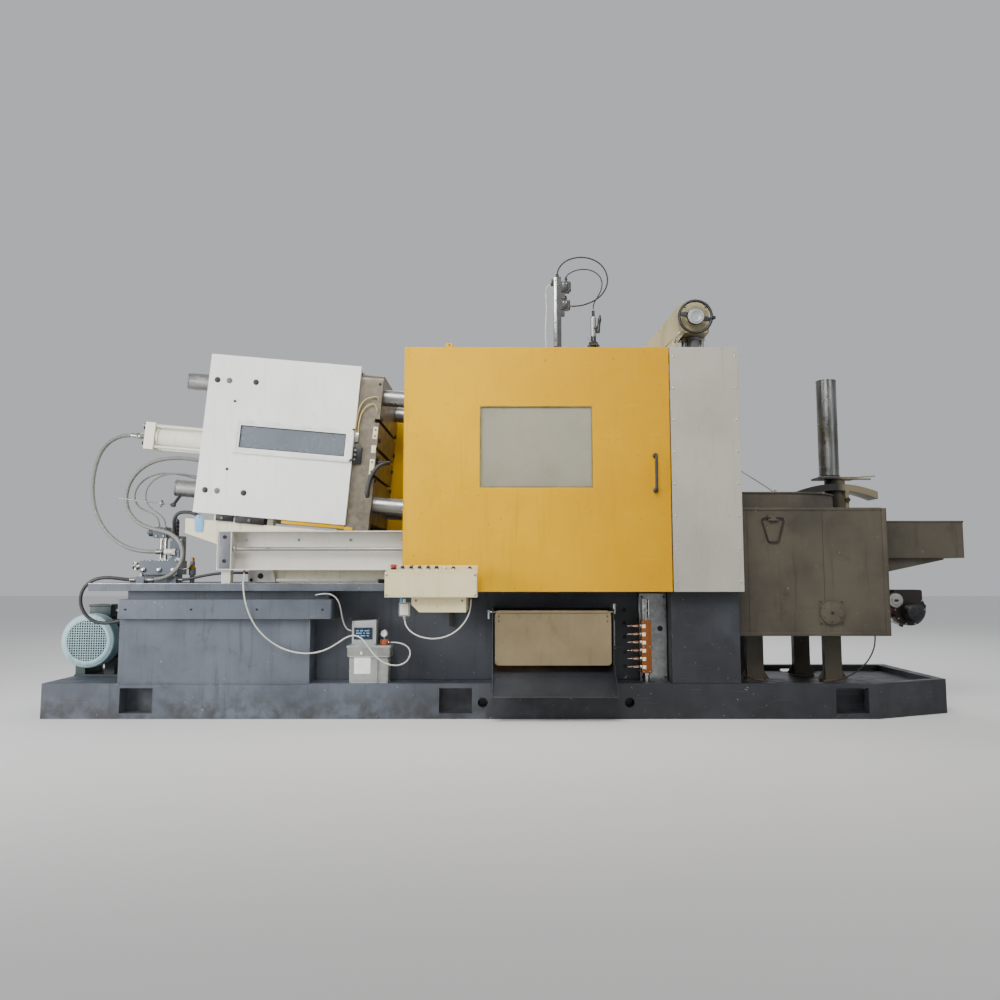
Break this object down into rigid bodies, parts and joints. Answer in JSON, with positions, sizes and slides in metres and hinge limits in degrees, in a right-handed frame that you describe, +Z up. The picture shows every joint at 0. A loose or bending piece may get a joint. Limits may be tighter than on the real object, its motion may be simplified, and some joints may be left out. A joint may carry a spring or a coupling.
{
  "type": "die casting machine",
  "caption": "Hot chamber die casting machine with sliding guard door, covered toggle clamp on tie bars, gas furnace with flue, injection head and a low machine bed.",
  "frame": {"origin": "middle of the plinth's footprint, on the floor", "axes": "+X along the machine towards the furnace, -Y the operator's side, +Z up"},
  "size_m": [5.8835, 1.59, 3.0956],
  "materials": {
    "base_paint": "dark blue-grey machine paint, scuffed",
    "guard_yellow": "safety yellow paint",
    "panel_white": "off-white paint",
    "cover_white": "white sheet cover, satin paint",
    "frame_cream": "cream machine enamel",
    "platen_steel": "machined platen steel, oiled",
    "bar_chrome": "hard chromed bars",
    "cylinder_grey": "grey cylinder paint",
    "furnace_brown": "heat-stained grey-brown paint",
    "pot_iron": "rough cast iron, scaled",
    "flue_stainless": "thin stainless flue pipe",
    "black_steel": "black enamel",
    "black_plastic": "black plastic",
    "motor_dark": "dark teal motor casting",
    "fan_mint": "mint fan cover",
    "flap_beige": "beige flap paint, stained",
    "manifold_orange": "orange-brown anodised bar",
    "lube_grey": "translucent grey plastic",
    "burner_red": "dark red burner cover",
    "window_frosted": "scratched safety pane",
    "valve_grey": "grey-blue valve castings with steel fittings",
    "hose_grey": "braided grey hydraulic hose",
    "hose_black": "black rubber hose",
    "tube_white": "white nylon tube",
    "cable_black": "black cable sheath",
    "window_clear": "clear sight pane"
  },
  "bodies": {
    "machine": {"bed_plinth": "base_paint", "oil_tank": "base_paint", "drip_tray": "base_paint", "machine_bed": "base_paint", "bed_column": "base_paint", "chute": "base_paint", "coolant_manifold": "manifold_orange", "manifold_plate": "platen_steel", "lubricator": "lube_grey", "panel_controls": "black_plastic", "operator_panel": "panel_white", "door_rail": "base_paint", "guide_rod": "bar_chrome", "fixed_panel": "panel_white", "rear_guard": "guard_yellow", "guard_frame": "guard_yellow", "clamp_frame": "frame_cream", "rear_platen": "frame_cream", "fixed_platen": "frame_cream", "tie_bars": "bar_chrome", "tie_bar_nuts": "platen_steel", "clamp_cylinder": "cylinder_grey", "toggle_cover": "cover_white", "cover_window": "window_clear", "fan_cover": "fan_mint", "pump_motor": "motor_dark", "injection_arm": "frame_cream", "shot_cylinder": "cylinder_grey", "shot_columns": "bar_chrome", "gooseneck": "pot_iron", "spray_mast": "black_steel", "melting_pot": "pot_iron", "furnace_legs": "furnace_brown", "furnace_body": "furnace_brown", "chimney": "flue_stainless", "damper": "furnace_brown", "flue_arch": "furnace_brown", "ingot_tray": "furnace_brown", "burner": "burner_red", "valve_block": "valve_grey", "cylinder_hose": "hose_grey", "return_hose": "hose_grey", "pilot_hose_left": "hose_grey", "pilot_hose_right": "hose_grey", "tank_hose": "hose_black", "bed_hose": "hose_black", "lube_tube": "tube_white", "lube_feed": "hose_grey", "panel_cable": "cable_black", "mast_cable": "cable_black", "nozzle_cable": "cable_black", "mast_wire": "cable_black", "burner_cable": "cable_black"},
    "door": {"door_panel": "guard_yellow", "door_window": "window_frosted", "door_handle": "black_plastic"},
    "platen": {"moving_platen": "platen_steel"},
    "flap": {"chute_flap": "flap_beige"},
    "wheel": {"handwheel": "black_steel"},
    "bail": {"furnace_bail": "black_steel"}
  },
  "joints": [
    {"name": "door_slide", "type": "slide", "parent": "machine", "child": "door", "axis": [-1, 0, 0], "range_m": [0, 0.9]},
    {"name": "platen_slide", "type": "slide", "parent": "machine", "child": "platen", "axis": [0.9962, 0, -0.0872], "range_m": [0, 0.46]},
    {"name": "flap_hinge", "type": "hinge", "parent": "machine", "child": "flap", "pos_m": [0.306, -0.608, 0.642], "axis": [-1, 0, 0], "range_deg": [0, 80]},
    {"name": "handwheel_spin", "type": "hinge", "parent": "machine", "child": "wheel", "pos_m": [1.305, -0.215, 2.61], "axis": [0, 1, 0], "continuous": true},
    {"name": "bail_hinge", "type": "hinge", "parent": "machine", "child": "bail", "pos_m": [1.714, -0.472, 1.229], "axis": [-1, 0, 0], "range_deg": [0, 90]}
  ]
}
